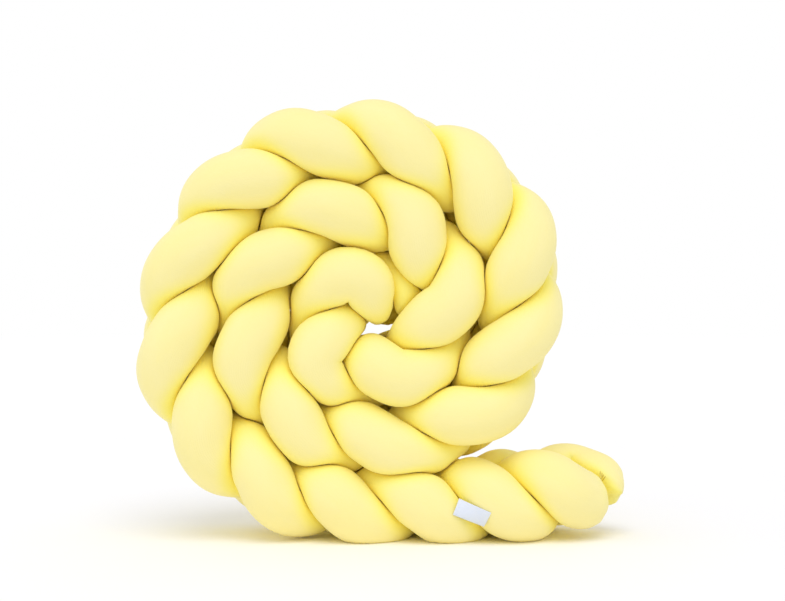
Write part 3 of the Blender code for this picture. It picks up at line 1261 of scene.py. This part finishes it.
@dataclass
class Studio:
    """White paper floor, a bright room and the camera in front of the near edge."""

    camera: tuple[float, float, float] = (0.004, -1.435, 0.220)
    pixels: tuple[int, int] = (785, 601)
    pixel: float = 1.0 * MM  # size at the plait's near edge
    horizon: float = 327.0  # pixel row of the camera's own height
    axis: float = 388.0  # pixel column of the camera's own place
    sensor_width: float = 36.0  # in millimetres
    clip_end: float = 100.0
    target: tuple[float, float, float] = (0.0, 0.0, 0.2)
    floor_radius: float = 30.0
    floor_rings: int = 12
    floor_sides: int = 48
    floor_drop: float = 0.1 * MM
    bounces: int = 12  # light goes many times from lobe to lobe in the creases of pale cloth
    room: str = "#FFFFFF"
    room_strength: float = 0.75
    lights: tuple[Softbox, ...] = (
        Softbox("key", (0.05, -0.9, 1.8), 40.0, 0.94, "#FFFFFF"),
        Softbox("left", (-1.6, -0.9, 1.1), 80.0, 0.22, "#FFFFFF"),
    )

    def build_floor(self, paper: bpy.types.Material) -> None:
        """Lays the floor as a disc in rings, just under the surface that the roll rests on.

        Args:
            paper: The floor's paper.
        """
        radius = self.floor_radius * np.linspace(0.02, 1, self.floor_rings) ** 2
        angle = np.append(around_circle(self.floor_sides), TURN)
        flat = radius[:, None, None] * np.stack([np.sin(angle), np.cos(angle)], axis=-1)
        points = np.concatenate([flat, np.full(flat.shape[:2] + (1,), -self.floor_drop)], axis=-1)
        centre = np.array([[[0.0, 0.0, -self.floor_drop]]])
        points = np.concatenate([np.repeat(centre, len(angle), axis=1), points])
        floor = grid_object("floor", points, points[..., :2])
        floor.data.materials.append(paper)

    def build_lights(self) -> None:
        """Adds the softboxes and the evenly bright room."""
        middle = np.array(self.target)
        for box in self.lights:
            lamp = bpy.data.lights.new(box.name, "SUN")
            lamp.angle = math.radians(box.breadth)
            lamp.energy = box.strength
            lamp.color = linear(box.colour)[:3]
            light = link_object(box.name, lamp)
            light.location = box.place
            away = unit(np.array(box.place) - middle)
            light.rotation_euler = (math.acos(away[2]), 0.0, math.atan2(away[0], -away[1]))
        world = bpy.data.worlds.new("room")
        world.use_nodes = True
        world.node_tree.nodes.clear()
        fill, wall = (
            add_node(world.node_tree, "ShaderNodeBackground", {
                "Color": linear(self.room), "Strength": strength})
            for strength in (self.room_strength, 1.0))
        seen = add_node(world.node_tree, "ShaderNodeLightPath").outputs["Is Camera Ray"]
        room = add_node(world.node_tree, "ShaderNodeMixShader", {
            0: seen, 1: fill.outputs["Background"], 2: wall.outputs["Background"]})
        add_node(world.node_tree, "ShaderNodeOutputWorld", {"Surface": room.outputs["Shader"]})
        bpy.context.scene.world = world

    def build_camera(self) -> None:
        """Sets the camera level in front of the roll, shifted so that the framing fits."""
        lens = bpy.data.cameras.new("camera")
        width, height = self.pixels
        near_edge = CAD_BOX[0].y
        lens.sensor_width = self.sensor_width
        lens.lens = lens.sensor_width * (near_edge - self.camera[1]) / (width * self.pixel)
        lens.shift_x = (width / 2 - self.axis) / width
        lens.shift_y = (self.horizon - height / 2) / width
        lens.clip_end = self.clip_end
        camera = link_object("camera", lens)
        camera.location = self.camera
        camera.rotation_euler = (math.pi / 2, 0.0, 0.0)
        bpy.context.scene.camera = camera

    def build(self) -> None:
        """Builds floor, lights and camera."""
        self.build_floor(StudioPaper().material())
        self.build_lights()
        self.build_camera()
        scene = bpy.context.scene
        scene.view_settings.view_transform = "Standard"
        scene.cycles.max_bounces = scene.cycles.diffuse_bounces = self.bounces


# ------------------------ The whole -------------------------


def report(piece: bpy.types.Object) -> None:
    """Logs a finished piece and its number of faces."""
    LOG.info("%s: %d faces", piece.name, len(piece.data.polygons))


def main() -> None:
    """Builds the tubes, the stitches at their ends, the label and the studio in order."""
    logging.basicConfig(level=logging.INFO, format="%(message)s")
    jersey = BrushedJersey().material()
    skins = []
    for tube in TUBES:
        skin = tube.build([other for other in TUBES if other is not tube])
        tube.dress(skin, jersey)
        skins.append(skin)
        report(skin)

    stitching = HandStitching()
    stitches = stitching.build(skins)
    # the yellow thread is painted darker than the cloth's own yellow, as painted shade of the crease
    # it lies in; its light and dark are its two plies
    stitching.dress(stitches, SewingThread("yellow_sewing_thread", "#EBD678", "#BFA548").material())
    report(stitches)

    label = RibbonLabel()
    ribbon, sewing = label.build(skins)
    label.dress(ribbon, sewing, SatinRibbon().material(),
                SewingThread("white_sewing_thread", "#F2F4FC", "#C3C9DC").material(),
                [skin.name for skin in skins])
    report(ribbon)
    report(sewing)

    Studio().build()


if __name__ == "__main__":
    main()
